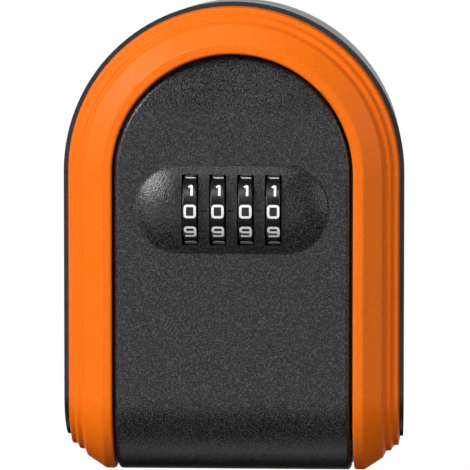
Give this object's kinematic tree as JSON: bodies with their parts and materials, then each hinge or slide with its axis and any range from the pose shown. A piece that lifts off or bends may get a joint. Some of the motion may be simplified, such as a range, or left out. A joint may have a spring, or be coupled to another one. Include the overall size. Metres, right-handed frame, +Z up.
{
  "type": "wall key safe",
  "caption": "Arched wall-mounted key box with a fold-down door, code dials in a raised window and a coloured horseshoe frame.",
  "frame": {"origin": "middle of the four wall-screw holes, in the wall plane", "axes": "+X to the right as seen from the front, +Y into the wall, +Z up"},
  "size_m": [0.0914, 0.0504, 0.1274],
  "materials": {
    "black_coat": "satin powder coat",
    "orange_plastic": "satin",
    "grey_texture": "fine texture coat",
    "zinc_plate": "bright zinc",
    "spring_steel": "polished",
    "black_gloss": "gloss",
    "black_plastic": "fine matt",
    "black_rubber": "soft",
    "dark_steel": "phosphated"
  },
  "bodies": {
    "housing": {"body_shell": "black_coat", "front_frame": "orange_plastic", "frame_screws": "zinc_plate", "door_seal": "black_rubber", "hinge_pin": "zinc_plate", "striker": "zinc_plate", "striker_screws": "zinc_plate", "key_hook_bar": "zinc_plate", "hook_bar_screws": "zinc_plate"},
    "door": {"door_panel": "grey_texture", "dial_bracket": "black_plastic", "bracket_screws": "zinc_plate", "dial_spindle": "spring_steel", "spindle_clips": "spring_steel", "detent_spring": "spring_steel", "sleeve_spring": "spring_steel", "latch_spring": "spring_steel", "lock_cover": "black_plastic", "cover_screws": "zinc_plate"},
    "latch": {"latch_slide": "zinc_plate", "release_button": "black_plastic", "button_screw": "zinc_plate"},
    "reset": {"reset_lever": "black_plastic"},
    "dial_1": {"number_wheel_1": "black_gloss"},
    "sleeve_1": {"code_sleeve_1": "dark_steel"},
    "dial_2": {"number_wheel_2": "black_gloss"},
    "sleeve_2": {"code_sleeve_2": "dark_steel"},
    "dial_3": {"number_wheel_3": "black_gloss"},
    "sleeve_3": {"code_sleeve_3": "dark_steel"},
    "dial_4": {"number_wheel_4": "black_gloss"},
    "sleeve_4": {"code_sleeve_4": "dark_steel"}
  },
  "joints": [
    {"name": "door_hinge", "type": "hinge", "parent": "housing", "child": "door", "pos_m": [0, -0.011, -0.0614], "axis": [1, 0, 0], "range_deg": [0, 105]},
    {"name": "latch_travel", "type": "slide", "parent": "door", "child": "latch", "axis": [0, 0, 1], "range_m": [-0.0025, 0], "deforming": ["latch_spring"]},
    {"name": "reset_shift", "type": "slide", "parent": "door", "child": "reset", "axis": [1, 0, 0], "range_m": [0, 0.0015], "stiffness_N_per_m": 300, "springref_m": -0.001, "deforming": ["sleeve_spring"]},
    {"name": "dial_1_turn", "type": "hinge", "parent": "door", "child": "dial_1", "pos_m": [-0.0111, -0.0408, 0.0072], "axis": [1, 0, 0], "continuous": true},
    {"name": "sleeve_1_shift", "type": "slide", "parent": "dial_1", "child": "sleeve_1", "axis": [1, 0, 0], "range_m": [0, 0.0015]},
    {"name": "dial_2_turn", "type": "hinge", "parent": "door", "child": "dial_2", "pos_m": [-0.0037, -0.0408, 0.0072], "axis": [1, 0, 0], "continuous": true},
    {"name": "sleeve_2_shift", "type": "slide", "parent": "dial_2", "child": "sleeve_2", "axis": [1, 0, 0], "range_m": [0, 0.0015]},
    {"name": "dial_3_turn", "type": "hinge", "parent": "door", "child": "dial_3", "pos_m": [0.0037, -0.0408, 0.0072], "axis": [1, 0, 0], "continuous": true},
    {"name": "sleeve_3_shift", "type": "slide", "parent": "dial_3", "child": "sleeve_3", "axis": [1, 0, 0], "range_m": [0, 0.0015]},
    {"name": "dial_4_turn", "type": "hinge", "parent": "door", "child": "dial_4", "pos_m": [0.0111, -0.0408, 0.0072], "axis": [1, 0, 0], "continuous": true},
    {"name": "sleeve_4_shift", "type": "slide", "parent": "dial_4", "child": "sleeve_4", "axis": [1, 0, 0], "range_m": [0, 0.0015]}
  ],
  "couplings": [
    {"joint": "sleeve_1_shift", "follows": "reset_shift", "ratio": 1},
    {"joint": "sleeve_2_shift", "follows": "reset_shift", "ratio": 1},
    {"joint": "sleeve_3_shift", "follows": "reset_shift", "ratio": 1},
    {"joint": "sleeve_4_shift", "follows": "reset_shift", "ratio": 1}
  ]
}
